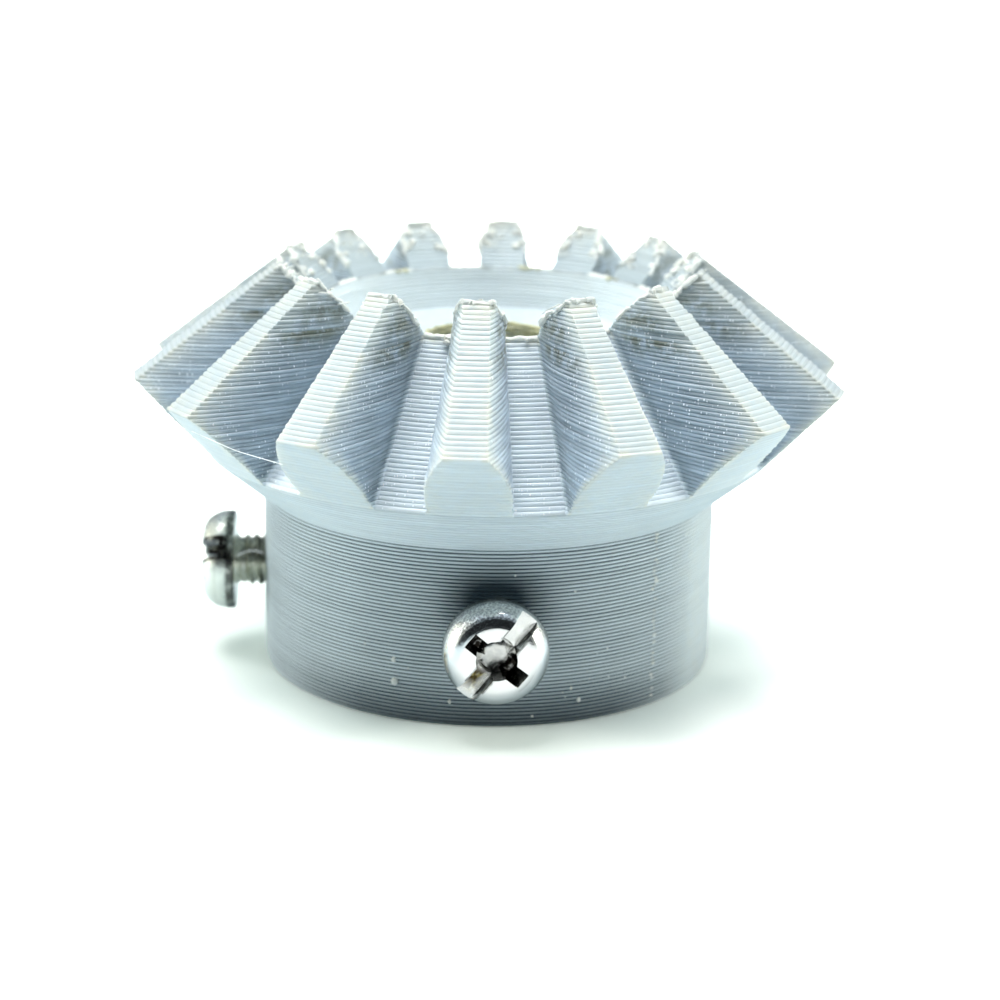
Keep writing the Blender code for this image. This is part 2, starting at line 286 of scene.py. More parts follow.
def plastic_material(name, base=(0.545, 0.635, 0.665), rough=0.38, cream=(0.80, 0.80, 0.70), painted_glow=0.0):
    mat, N, L, bsdf = new_material(name)
    tc = N.new("ShaderNodeTexCoord").outputs["Object"]
    sep = N.new("ShaderNodeSeparateXYZ")
    L.new(tc, sep.inputs[0])
    # each printed layer has its own slight tone
    layer = math_node(N, L, "FLOOR", math_node(N, L, "DIVIDE", sep.outputs[2], LAYER * MM))
    white = N.new("ShaderNodeTexWhiteNoise")
    white.noise_dimensions = "1D"
    L.new(layer, white.inputs["W"])
    stretch = N.new("ShaderNodeMapping")
    stretch.inputs["Scale"].default_value = (0.35, 0.35, 4.0)
    L.new(tc, stretch.inputs["Vector"])
    streak = noise(N, L, stretch.outputs[0], 900.0, 3.0, 0.6)
    upright = N.new("ShaderNodeMapping")
    upright.inputs["Scale"].default_value = (1.0, 1.0, 0.12)
    L.new(tc, upright.inputs["Vector"])
    bands = noise(N, L, upright.outputs[0], 330.0, 2.0, 0.5)
    broad = noise(N, L, tc, 160.0, 2.0, 0.5)
    gain = 1.0
    for source, amount in ((white.outputs["Value"], 0.07), (streak, 0.12), (broad, 0.16), (bands, 0.16)):
        part = math_node(N, L, "MULTIPLY", math_node(N, L, "SUBTRACT", source, 0.5), amount)
        gain = math_node(N, L, "ADD", part, gain)
    colour = N.new("ShaderNodeVectorMath")
    colour.operation = "SCALE"
    colour.inputs[0].default_value = base
    L.new(gain, colour.inputs["Scale"])
    weight = {}
    for label in ("cream", "soot", "painted_shade", "pale", "cool"):
        node = N.new("ShaderNodeAttribute")
        node.attribute_name = label
        weight[label] = node.outputs["Fac"]
    # paler strands along the crests; the same pale weight is also painted light, lifting the pocket wall, the gap
    # floors, the hub's sides and the band and faces towards the front
    clear = N.new("ShaderNodeVectorMath")
    clear.operation = "SCALE"
    clear.inputs[0].default_value = (0.77, 0.845, 0.872)
    L.new(gain, clear.inputs["Scale"])
    mixed = mix_colour(N, L, weight["pale"], colour.outputs[0], clear.outputs[0])
    patch = ramp(N, L, noise(N, L, tc, 1300.0, 3.0, 0.65), 0.22, 0.60)
    cream_fac = math_node(N, L, "MULTIPLY", weight["cream"], patch, True)
    colour = mix_colour(N, L, math_node(N, L, "MULTIPLY", cream_fac, 0.9), mixed, cream)
    # painted shade tint: the sides of the teeth, which sit in shade, are painted a little bluer
    colour = mix_colour(N, L, weight["cool"], colour, (0.975, 0.992, 1.075), "MULTIPLY")
    # and more streaky than the rest
    uneven = math_node(N, L, "ADD", math_node(N, L, "MULTIPLY", math_node(N, L, "SUBTRACT", streak, 0.5), 1.1),
                       math_node(N, L, "MULTIPLY", math_node(N, L, "SUBTRACT", bands, 0.5), 0.5))
    uneven = math_node(N, L, "ADD", math_node(N, L, "MULTIPLY", uneven, weight["cool"]), 1.0)
    streaked = N.new("ShaderNodeVectorMath")
    streaked.operation = "SCALE"
    L.new(colour, streaked.inputs[0])
    L.new(uneven, streaked.inputs["Scale"])
    colour = streaked.outputs[0]
    # painted shade: darker between the strands, on the flanks, near the floor and wherever else this shade weight is
    # set
    colour = mix_colour(N, L, math_node(N, L, "MULTIPLY", weight["painted_shade"], 0.93, True), colour, (0.030, 0.055, 0.075))
    # tiny glints where a strand catches the light
    cells = N.new("ShaderNodeTexVoronoi")
    cells.inputs["Scale"].default_value = 8500.0
    cells.inputs["Randomness"].default_value = 0.35
    along = N.new("ShaderNodeMapping")
    along.inputs["Scale"].default_value = (0.85, 0.85, 1 / (LAYER * MM) / 8500.0)
    along.inputs["Location"].default_value = (0.0, 0.0, -0.325 / 8500.0)
    L.new(tc, along.inputs["Vector"])
    L.new(along.outputs[0], cells.inputs["Vector"])
    csep = N.new("ShaderNodeSeparateColor")
    L.new(cells.outputs["Color"], csep.inputs[0])
    glint = math_node(N, L, "MULTIPLY",
                      math_node(N, L, "GREATER_THAN", csep.outputs[0], 0.70),
                      math_node(N, L, "LESS_THAN", cells.outputs["Distance"], 0.30))
    glint = math_node(N, L, "MULTIPLY", glint, math_node(N, L, "ADD", math_node(N, L, "MULTIPLY", csep.outputs[1], 0.9), 0.1))
    where = ramp(N, L, noise(N, L, tc, 260.0, 2.0, 0.5), 0.40, 0.56)
    glint = math_node(N, L, "MULTIPLY", glint, where, True)
    glint = math_node(N, L, "MULTIPLY", glint, math_node(N, L, "GREATER_THAN", weight["cool"], 0.2))
    # a faint painted glow on the strand materials stands in for light passing through thin strands
    L.new(math_node(N, L, "ADD", math_node(N, L, "MULTIPLY", glint, 0.32), painted_glow), bsdf.inputs["Emission Strength"])
    bsdf.inputs["Emission Color"].default_value = (0.93, 0.97, 1.0, 1)
    colour = mix_colour(N, L, math_node(N, L, "MULTIPLY", glint, 0.85), colour, (0.93, 0.96, 1.0))
    # olive-brown residue
    speck = ramp(N, L, noise(N, L, tc, 1100.0, 4.0, 0.7), 0.38, 0.56)
    soot_fac = math_node(N, L, "MULTIPLY", weight["soot"], speck, True)
    colour = mix_colour(N, L, math_node(N, L, "MULTIPLY", soot_fac, 0.85), colour, (0.15, 0.16, 0.10))
    L.new(colour, bsdf.inputs["Base Color"])
    L.new(math_node(N, L, "ADD", math_node(N, L, "MULTIPLY", streak, 0.22), rough - 0.10), bsdf.inputs["Roughness"])
    bsdf.inputs["Specular IOR Level"].default_value = 0.5
    bsdf.inputs["Subsurface Weight"].default_value = SCATTER
    bsdf.inputs["Subsurface Radius"].default_value = (1.0, 0.95, 0.85)
    bsdf.inputs["Subsurface Scale"].default_value = 0.00035
    # fine pebbling on the strands
    fine = noise(N, L, stretch.outputs[0], 5200.0, 2.0, 0.6)
    bump = N.new("ShaderNodeBump")
    bump.inputs["Strength"].default_value = 0.35
    bump.inputs["Distance"].default_value = 0.00004
    L.new(fine, bump.inputs["Height"])
    bump2 = N.new("ShaderNodeBump")
    bump2.inputs["Strength"].default_value = 0.5
    bump2.inputs["Distance"].default_value = 0.00008
    L.new(streak, bump2.inputs["Height"])
    L.new(bump.outputs[0], bump2.inputs["Normal"])
    L.new(bump2.outputs[0], bsdf.inputs["Normal"])
    return mat


def plated_material(name, base=(0.78, 0.78, 0.735), rough=0.18):
    mat, N, L, bsdf = new_material(name)
    tc = N.new("ShaderNodeTexCoord").outputs["Object"]
    cloud = noise(N, L, tc, 700.0, 3.0, 0.6)
    fine = noise(N, L, tc, 6000.0, 2.0, 0.6)
    soot = N.new("ShaderNodeAttribute")
    soot.attribute_name = "soot"
    pit = N.new("ShaderNodeAttribute")
    pit.attribute_name = "painted_shade"
    tarnish = math_node(N, L, "MULTIPLY", ramp(N, L, noise(N, L, tc, 1500.0, 4.0, 0.7), 0.30, 0.44),
                        soot.outputs["Fac"], True)
    shade = math_node(N, L, "MULTIPLY", ramp(N, L, noise(N, L, tc, 2600.0, 3.0, 0.7), 0.20, 0.50),
                      pit.outputs["Fac"], True)
    col = mix_colour(N, L, math_node(N, L, "MULTIPLY", cloud, 0.25), base, (0.62, 0.61, 0.57))
    grain = N.new("ShaderNodeAttribute")
    grain.attribute_name = "grain"
    pitted = math_node(N, L, "MULTIPLY", ramp(N, L, noise(N, L, tc, 9000.0, 2.0, 0.7), 0.40, 0.56), grain.outputs["Fac"], True)
    col = mix_colour(N, L, math_node(N, L, "MULTIPLY", pitted, 0.62), col, (0.16, 0.15, 0.16))
    stain = mix_colour(N, L, ramp(N, L, noise(N, L, tc, 3200.0, 2.0, 0.6), 0.45, 0.55), (0.36, 0.31, 0.13), (0.09, 0.065, 0.025))
    col = mix_colour(N, L, tarnish, col, stain)
    # painted shade: the screws' shade weight mixes the colour towards black
    col = mix_colour(N, L, shade, col, (0.012, 0.010, 0.008))
    L.new(col, bsdf.inputs["Base Color"])
    bsdf.inputs["Metallic"].default_value = 1.0
    r = math_node(N, L, "ADD", math_node(N, L, "MULTIPLY", cloud, 0.14), rough - 0.07)
    r = math_node(N, L, "ADD", r, math_node(N, L, "MULTIPLY", tarnish, 0.35))
    L.new(r, bsdf.inputs["Roughness"])
    bump = N.new("ShaderNodeBump")
    bump.inputs["Strength"].default_value = 0.25
    bump.inputs["Distance"].default_value = 0.00002
    L.new(fine, bump.inputs["Height"])
    L.new(bump.outputs[0], bsdf.inputs["Normal"])
    return mat


plastic = plastic_material("printed_plastic")
plated = plated_material("plated_steel", (0.92, 0.925, 0.895), 0.17)
# the side screw's copy of the plating is rougher and tinted cream; the cream tint is painted light, the tone its head
# takes on where it sits
plated_dull = plated_material("plated_steel_dull", (0.97, 0.97, 0.83), 0.28)
zinc = plated_material("zinc_steel", (0.62, 0.63, 0.65), 0.32)

# ---------------------------------------------------------------- gear: the hub and the band under the teeth
def hub_skin():
    shape = Shape()
    n = 264
    layers = int(round(ROOT_Z / LAYER))
    z0 = np.arange(layers) * LAYER
    zc = z0 + LAYER / 2
    r = np.where(zc < HUB_H, HUB_R, HUB_R + (zc - HUB_H) * (ROOT_R - HUB_R) / (ROOT_Z - HUB_H))
    r[0] -= 0.06
    ang = np.linspace(0, 360, n, endpoint=False)
    rr = r[:, None] + wobble(n, layers, 0.006) + rng.normal(0, 0.004, (layers, 1))
    outlines = polar(rr, np.broadcast_to(ang, (layers, n)))
    rows = beads(outlines, z0, depth=np.where(zc < HUB_H, 0.098, 0.046) + rng.normal(0, 0.005, layers))
    # painted shade between the strands, much fainter on the band above the hub
    dark = np.where(zc < HUB_H, 1.0, 0.26) * rng.uniform(0.8, 1.0, layers)
    painted_shade = np.repeat(dark, RPB)[:, None] * np.tile([1.12, 1.0, 0.10, 0.0, 0.80, 1.12], layers)[:, None]
    pale = np.repeat(np.where(zc < HUB_H, 0.80, 0.60), RPB)[:, None]
    painted_shade = np.broadcast_to(painted_shade, rows.shape[:2]).copy()
    # beyond the seam and round the left side the strands blend into one another; there the hub is painted paler, with
    # less painted shade between the strands, as painted light from the side lamps
    turned = (ang + 180) % 360 - 180
    lit_sides = np.clip((turned - 48) / 14, 0, 1) * np.clip((150 - turned) / 40, 0, 1)
    lit_sides = np.maximum(lit_sides, np.clip((-turned - 70) / 12, 0, 1) * np.clip((150 + turned) / 40, 0, 1) * 0.8)[None]
    on_side = (np.repeat(zc, RPB) < HUB_H)[:, None]
    painted_shade *= np.where(on_side, 1 - 0.72 * lit_sides, 1.0)
    pale = np.where(on_side, pale, 0.12)
    # the band under the teeth is painted paler towards the front, painted light
    pale = np.maximum(pale, 0.95 * lit_sides * on_side) + ~on_side * 1.0 * np.clip((52 - np.abs(turned)) / 38, 0, 1)[None]
    cream = lit_sides * on_side * 0.38 + ~on_side * 0.22
    cool = np.zeros(rows.shape[:2])
    keep = np.ones(rows.shape[:2], bool)
    soot = np.zeros(rows.shape[:2])
    # round openings where the two screws go in
    for az, height in ((FRONT_AZ, FRONT_Z), (SIDE_AZ, SIDE_Z)):
        a = math.radians(az)
        out = np.array([math.sin(a), -math.cos(a), 0])
        side = np.array([math.cos(a), math.sin(a), 0])
        facing = rows @ out > 8
        u = rows @ side
        v = rows[..., 2] - height
        d = np.hypot(u, v)
        inside = facing & (d < HOLE_R + 0.02)
        push = (HOLE_R + 0.02) / np.maximum(d, 1e-6)
        nu, nv = u * push, v * push
        keep &= ~(facing & (d < HOLE_R - 0.02))
        depth = np.sqrt(np.maximum((rows @ out) ** 2 + u ** 2 - nu ** 2, 0))
        moved = out * depth[..., None] + side * nu[..., None] + np.array([0, 0, 1]) * (nv + height)[..., None]
        rows = np.where(inside[..., None], moved, rows)
        if az == FRONT_AZ:
            # painted shade just above the front screw's head, where the head keeps the light from the floor off the hub
            head_shade = np.exp(-np.abs(u / 2.3) ** 2.5 - np.abs((v - 2.0) / 1.55) ** 2.5) * facing * (rows[..., 2] < HUB_H)
            painted_shade = np.maximum(painted_shade, 0) + 1.30 * head_shade
        soot = np.maximum(soot, facing * np.clip((HOLE_R + 0.75 - d) / 0.5, 0, 1) * 0.8)
    # painted shade near the floor, darker towards the bottom and strongest at the front
    foot = np.clip((2.6 - rows[..., 2]) / 2.6, 0, 1) * (0.10 + 0.72 * np.clip((58 - np.abs(turned)) / 26, 0, 1))[None]
    painted_shade = np.clip(painted_shade + foot, 0, 1.1)
    shape.grid(rows, True, cream, soot, keep=keep, painted_shade=painted_shade, pale=pale, cool=cool)
    return shape


# ---------------------------------------------------------------- gear: the toothed layers
FLANK = np.array([0.0, 0.035, 0.09, 0.2, 0.36, 0.52, 0.68, 0.83, 0.94, 1.0])
TIP = np.array([-0.86, -0.45, 0.0, 0.45, 0.86])


def period(z):
    """One pitch of the outline at height z: angle from the tooth's centre, radius, depth share."""
    top = float(np.clip((z - ROOT_Z) / (TIP_Z - ROOT_Z), 0.004, 1.0))
    t = FLANK * top
    w, r = half_width(t), tooth_radius(t, z)
    w[-1] *= 0.972
    r[-1] -= 0.035 * top
    w_tip, r_tip = float(half_width(top)), float(tooth_radius(top, z))
    gap = np.linspace(PITCH / 2, float(half_width(0)), 4)[:-1]
    r_gap = float(tooth_radius(0.0, z))
    angle = np.concatenate([-gap, -w, TIP * w_tip, w[::-1], gap[::-1][:-1]])
    radius = np.concatenate([np.full(3, r_gap), r, np.full(5, r_tip), r[::-1], np.full(2, r_gap)])
    depth = np.concatenate([np.zeros(3), t, np.full(5, top), t[::-1], np.zeros(2)])
    return angle, radius, depth


def toothed_skin():
    shape = Shape()
    first = int(round(ROOT_Z / LAYER))
    last = int(round(RIM_Z / LAYER))
    z0 = np.arange(first, last) * LAYER
    layers = len(z0)
    def outline(z):
        angle, radius, depth = period(z)
        full_a = np.concatenate([TOOTH_AZ + k * PITCH + angle for k in range(TEETH)])
        corner = np.zeros(len(angle))
        corner[[12, 18]] = 1.0
        corner[[11, 13, 17, 19]] = 0.65
        return polar(np.tile(radius, TEETH), full_a), np.tile(depth, TEETH), np.tile(corner, TEETH)

    outlines, depths = [], []
    for z in z0:
        middle, depth, corner = outline(z + LAYER / 2)
        outlines.append([STEP * middle + (1 - STEP) * outline(z + LAYER * b)[0] for b in BEAD_Z])
        depths.append(depth)
    outlines, depths = np.array(outlines), np.array(depths)
    n = outlines.shape[2]
    # strands don't land exactly where the one below did
    shift = rng.normal(0, 0.010, (layers, 1, 2))
    nrm = normals_2d(outlines[:, RPB // 2])
    moved = shift + nrm * (wobble(n, layers, 0.02, 9) + rng.normal(0, 0.003, (layers, n)))[..., None]
    outlines = outlines + moved[:, None]
    rows = beads(outlines, z0, depth=0.052 + rng.normal(0, 0.006, layers), peak=rng.normal(0, 0.006, layers),
                 ease=np.where(depths > 0.985, 0.45, np.where(depths < 0.02, 0.70, 1.0)))
    top_height = ((z0 + LAYER / 2) - ROOT_Z) / (TIP_Z - ROOT_Z)
    cream = np.clip((depths - 0.80) / 0.20, 0, 1) * 0.30
    cream = np.repeat(cream, RPB, 0)
    high = np.clip((np.repeat(z0, RPB) - 18.6) / 1.4, 0, 1)
    share = np.repeat(depths, RPB, 0)
    soot = high[:, None] ** 1.3 * 1.3 * np.clip((share - 0.12) / 0.2, 0, 1) * np.clip((0.93 - share) / 0.15, 0, 1)
    # tuck the lowest row under the band and close the rim inwards to the pocket
    first_row = rows[:1].copy()
    first_row[..., :2] *= 0.97
    inner = rows[-1:].copy()
    inner_r = np.linalg.norm(inner[..., :2], axis=-1, keepdims=True)
    inner[..., :2] *= (POCKET_TOP_R + 0.02) / inner_r
    rows = np.concatenate([first_row, rows, inner])
    cream = np.concatenate([cream[:1], cream, cream[-1:]])
    soot = np.concatenate([soot[:1], soot, soot[-1:]])
    # painted shade between the strands, eased on the crests and the gap floors
    painted_shade = np.concatenate([[0.2], np.tile(BEAD_SHADE, layers) * 0.55, [0.0]])[:, None]
    share = np.concatenate([depths[:1], np.repeat(depths, RPB, 0), depths[-1:]])
    on_tip = share > 0.985
    painted_shade = np.where(on_tip, painted_shade * 0.10, painted_shade)
    on_flank = (share > 0.04) & (share < 0.95) & (rows[..., 2] > ROOT_Z + 0.4)
    top_share = np.clip((rows[..., 2] - ROOT_Z) / (TIP_Z - ROOT_Z), 0, 1)
    on_face = (share > top_share * 0.96 - 0.02) & (rows[..., 2] < TIP_Z + 0.05)
    # painted shade on the flanks, lighter on the faces and towards the crest
    painted_shade = np.where(on_flank & ~on_face, painted_shade + 0.15, painted_shade)
    painted_shade = np.where(on_face, painted_shade * 0.62, painted_shade)
    painted_shade = np.where(share < 0.02, painted_shade * 0.20, painted_shade)
    # painted shade on the crests towards the two sides, and a little on their flanks
    turned = np.degrees(np.arctan2(rows[..., 0], -rows[..., 1]))
    side_shade = np.sin(np.radians(turned)) ** 2
    painted_shade = np.where(on_tip, painted_shade + 0.34 * side_shade, painted_shade)
    # the colour fades softly from the crest down onto each side
    fade = np.clip((share - 0.60) / 0.38, 0, 1) ** 1.6
    pale = np.where(on_tip & (rows[..., 2] > TIP_Z - 0.3), 0.28, 0.30 * fade)
    # The large-end faces are painted paler towards the front and the gap floors paler still, painted light.
    pale = np.where(on_face, 0.48 + 0.52 * np.clip((34 - np.abs(turned)) / 26, 0, 1), pale)
    pale = np.where((share < 0.02), 1.0, pale)
    painted_shade = np.where(on_flank & ~on_face, painted_shade * (1 - 0.55 * fade), painted_shade)
    # the sides get the bluish painted shade tint, fading towards the crest
    cool = np.where(on_flank & ~on_face, 1.0 - 0.8 * fade, np.where(share < 0.02, 0.25, 0.0))
    rim_cream = (share < 0.04) * np.clip((rows[..., 2] - 19.55) / 0.3, 0, 1)
    cream = np.maximum(cream, fade * 0.45 * ~on_face)
    cream = np.where(on_face, np.maximum(cream, 0.45), cream)
    # painted shade in the crease at the root of each flank
    root = np.exp(-(share / 0.17) ** 2) * 0.34 - 0.05
    painted_shade = np.where(on_flank & ~on_face, painted_shade + 0.10 * side_shade + root, painted_shade)
    edge_cream = corner[None] * 0.95 + (share > 0.95) * np.clip(1 - np.abs(rows[..., 2] - TIP_Z) / 0.30, 0, 1) * 0.9
    cream = np.maximum.reduce([cream * 0.8, rim_cream, edge_cream])
    shape.grid(rows, True, cream, soot, painted_shade=painted_shade, pale=pale, cool=cool)
    return shape


def tip_skin():
    """Above the rim each layer is fourteen separate islands, ragged where the strand starts and stops."""
    shape = Shape()
    first = int(round(RIM_Z / LAYER))
    top_z = APEX + (TIP_Z - APEX) * SMALL
    layers = int(math.floor((top_z - RIM_Z) / LAYER + 0.5))
    z0 = (first + np.arange(layers)) * LAYER
    for k in range(TEETH):
        lean = rng.normal(0, 0.02, 2)
        outlines, creams, pales, sides, eases = [], [], [], [], []
        def outline(z):
            low = float(np.clip(((APEX - ROOT_Z) - (APEX - z) / SMALL) / (TIP_Z - ROOT_Z), 0, 0.97))
            t = np.linspace(low, 1.0, 8)
            w, r = half_width(t), tooth_radius(t, z)
            w[-1] *= 0.96
            tip_w, tip_r = float(half_width(1.0)), float(tooth_radius(1.0, z))
            in_a = np.linspace(-1, 1, 7)[1:-1] * w[0]
            angle = np.concatenate([in_a, w, TIP[::-1] * tip_w, -w[::-1]])
            radius = np.concatenate([np.full(5, r[0]), r, np.full(5, tip_r), r[::-1]])
            depth = np.concatenate([np.full(5, low), t, np.ones(5), t[::-1]])
            return polar(radius, TOOTH_AZ + k * PITCH + angle), depth, low

        for i, z in enumerate(z0):
            middle, depth, low = outline(z + LAYER / 2)
            rise = (i + 1) / layers
            jog = lean * rise + rng.normal(0, 0.012 + 0.02 * rise ** 2, 2)
            outlines.append([STEP * middle + (1 - STEP) * outline(z + LAYER * b)[0] + jog for b in BEAD_Z])
            creams.append(np.clip((depth - 0.8) / 0.2, 0, 1) * 0.4 + 0.6 * rise ** 2)
            inner = np.clip((low + 0.10 - depth) / 0.10, 0, 1)
            sides.append((depth > low + 0.06) * np.clip((0.90 - depth) / 0.12, 0, 1))
            eases.append(np.where(depth > 0.985, 0.45, 1.0))
            pales.append(np.maximum(inner * 0.12, np.clip((depth - 0.60) / 0.38, 0, 1) ** 1.6 * 0.28))
        outlines = np.array(outlines)
        rough = rng.normal(0, 1, (layers, outlines.shape[2])) * (0.008 + 0.018 * np.linspace(0, 1, layers)[:, None] ** 2)
        outlines = outlines + (normals_2d(outlines[:, RPB // 2]) * rough[..., None])[:, None]
        rows = beads(outlines, z0, depth=0.055 + rng.normal(0, 0.007, layers), peak=rng.normal(0, 0.010, layers),
                     ease=np.array(eases))
        cream = np.repeat(np.array(creams), RPB, 0)
        centre = rows[-1].mean(0)
        cap = rows[-1:] * 0.35 + centre * 0.65
        cap[..., 2] += 0.015
        foot = rows[:1].copy()
        foot[..., 2] -= 0.05
        rows = np.concatenate([foot, rows, cap])
        cream = np.concatenate([cream[:1], cream, cream[-1:]])
        soot = np.clip(1 - np.abs(rows[..., 2] - 20.9) / 1.1, 0, 1) * 0.9
        base = shape.count
        n = rows.shape[1]
        pale = np.repeat(np.array(pales), RPB, 0)
        pale = np.concatenate([pale[:1], pale, pale[-1:]])
        side = np.repeat(np.array(sides), RPB, 0)
        side = np.concatenate([side[:1], side, side[-1:]])
        soot = soot * side
        # painted shade on the flanks, and on the crests of the teeth towards the two sides
        painted_shade = np.concatenate([[0.1], np.tile(BEAD_SHADE, layers) * 0.15, [0.0]])[:, None] + 0.14 * side
        painted_shade = painted_shade + 0.34 * math.sin(math.radians(TOOTH_AZ + k * PITCH)) ** 2 * (1 - side)
        shape.grid(rows, True, cream, soot, painted_shade=painted_shade, pale=pale, cool=0.9 * side)
        last = base + (len(rows) - 1) * n
        shape.faces.append(tuple(last + i for i in range(n)))
    return shape


def pocket_skin():
    shape = Shape()
    n = 210
    layers = int(round((RIM_Z - POCKET_FLOOR_Z) / LAYER + 0.5))
    z0 = RIM_Z - (np.arange(layers) + 1) * LAYER
    zc = z0 + LAYER / 2
    share = np.clip((zc - POCKET_FLOOR_Z) / (RIM_Z - POCKET_FLOOR_Z), 0, 1)
    r = POCKET_FLOOR_R + (POCKET_TOP_R - POCKET_FLOOR_R) * share
    ang = np.linspace(0, 360, n, endpoint=False)
    rr = r[:, None] + wobble(n, layers, 0.03) + rng.normal(0, 0.01, (layers, 1))
    outlines = polar(rr, np.broadcast_to(ang, (layers, n)))[::-1]
    rows = beads(outlines, z0[::-1], depth=-0.04 * np.ones(layers))
    # the pocket wall is painted pale, painted light
    shape.grid(rows, True, 0.12, 0.0, flip=True, pale=1.0)
    # the floor, laid as rings
    rings = int((POCKET_FLOOR_R - BORE_R) / 0.4)
    edge = np.linspace(POCKET_FLOOR_R + 0.3, BORE_R, rings + 1)
    floor = []
    for a, b in zip(edge, edge[1:]):
        for share, drop in ((0.0, 0.03), (0.25, 0.0), (0.75, 0.0), (1.0, 0.03)):
            rad = a + (b - a) * share
            xy = polar(np.full(n, rad), ang)
            floor.append(np.concatenate([xy, np.full((n, 1), POCKET_FLOOR_Z - drop)], 1))
    shape.grid(np.array(floor), True, 0.0, 0.12, flip=True, pale=0.12)
    return shape


def cut(obj, cutter):
    mod = obj.modifiers.new(cutter.name, "BOOLEAN")
    mod.operation = "DIFFERENCE"
    mod.solver = "EXACT"
    mod.object = cutter


def apply_modifiers(obj, *cutters):
    dg = bpy.context.evaluated_depsgraph_get()
    mesh = bpy.data.meshes.new_from_object(obj.evaluated_get(dg), preserve_all_data_layers=True, depsgraph=dg)
    obj.modifiers.clear()
    obj.data = mesh
    for c in cutters:
        bpy.data.objects.remove(c, do_unlink=True)


def lathe_object(name, profile, segments, mat=None, closed=False):
    bm = bmesh.new()
    verts = [bm.verts.new((r * MM, 0, z * MM)) for r, z in profile]
    ring = verts + verts[:1] if closed else verts
    edges = [bm.edges.new(pair) for pair in zip(ring, ring[1:])]
    bmesh.ops.spin(bm, geom=verts + edges, cent=(0, 0, 0), axis=(0, 0, 1), dvec=(0, 0, 0),
                   angle=2 * math.pi, steps=segments, use_merge=True)
    bmesh.ops.remove_doubles(bm, verts=bm.verts, dist=1e-7)
    bmesh.ops.recalc_face_normals(bm, faces=bm.faces)
    mesh = bpy.data.meshes.new(name)
    bm.to_mesh(mesh)
    bm.free()
    if mat:
        mesh.materials.append(mat)
    obj = bpy.data.objects.new(name, mesh)
    bpy.context.scene.collection.objects.link(obj)
    return obj


def gear_core():
    """What lies behind the printed skin: the underside with its two nut slots, the screw holes and the bore."""
    s = 0.12
    profile = [(BORE_R, 0.0), (HUB_R - 0.10, 0.0), (HUB_R - s, 0.06), (HUB_R - s, HUB_H), (ROOT_R - s - 0.1, ROOT_Z),
               (ROOT_R * SMALL - 0.02, RIM_Z - 0.22), (POCKET_TOP_R + 0.05, RIM_Z - 0.22),
               (POCKET_FLOOR_R + 0.12, POCKET_FLOOR_Z - 0.06), (BORE_R, POCKET_FLOOR_Z - 0.06)]
    core = lathe_object("gear_core", profile, 168, plastic, closed=True)
    cutters = []
    for tag, az, height in (("front", FRONT_AZ, FRONT_Z), ("side", SIDE_AZ, SIDE_Z)):
        hole = lathe_object(f"{tag}_hole_cut", [(0, 1.5), (HOLE_R, 1.5), (HOLE_R, HUB_R + 2), (0, HUB_R + 2)], 48)
        hole.matrix_world = radial(az, 0, height)
        half = NUT_AF / 2 + NUT_GAP
        corner = half * 2 / math.sqrt(3)
        bm = bmesh.new()
        outline = [(-half, -height - 1), (half, -height - 1), (half, corner / 2), (0, corner), (-half, corner / 2)]
        face = bm.faces.new([bm.verts.new((x * MM, y * MM, (NUT_R - NUT_T / 2 - NUT_GAP) * MM)) for x, y in outline])
        top = bmesh.ops.extrude_face_region(bm, geom=[face])
        for v in [g for g in top["geom"] if isinstance(g, bmesh.types.BMVert)]:
            v.co.z = (NUT_R + NUT_T / 2 + NUT_GAP) * MM
        bmesh.ops.recalc_face_normals(bm, faces=bm.faces)
        mesh = bpy.data.meshes.new(f"{tag}_slot_cut")
        bm.to_mesh(mesh)
        bm.free()
        slot = bpy.data.objects.new(f"{tag}_slot_cut", mesh)
        bpy.context.scene.collection.objects.link(slot)
        slot.matrix_world = radial(az, 0, height)
        for c in (hole, slot):
            cut(core, c)
            cutters.append(c)
    bpy.context.view_layer.update()
    apply_modifiers(core, *cutters)
    co = np.array([v.co for v in core.data.vertices]) / MM
    bore = (np.hypot(co[:, 0], co[:, 1]) < BORE_R + 0.1).astype(np.float32)
    for label, values in (("pale", bore * 0.9), ("cream", bore * 0.7)):
        core.data.attributes.new(label, "FLOAT", "POINT").data.foreach_set("value", values)
    core.data.shade_smooth()
    core.data.set_sharp_from_angle(angle=math.radians(30))
    return core


# ---------------------------------------------------------------- gear: seam, blobs and stray hairs
def hair(shape, points, thick):
    key = np.array(points, float)
    knots = np.linspace(0, 1, len(key))
    fine = np.linspace(0, 1, 26)
    smooth = np.stack([np.interp(fine, knots, key[:, i]) for i in range(3)], -1)
    for _ in range(3):
        smooth[1:-1] = (smooth[:-2] + smooth[1:-1] * 2 + smooth[2:]) / 4
    shape.tube(smooth, thick, 5, cream=1.0)


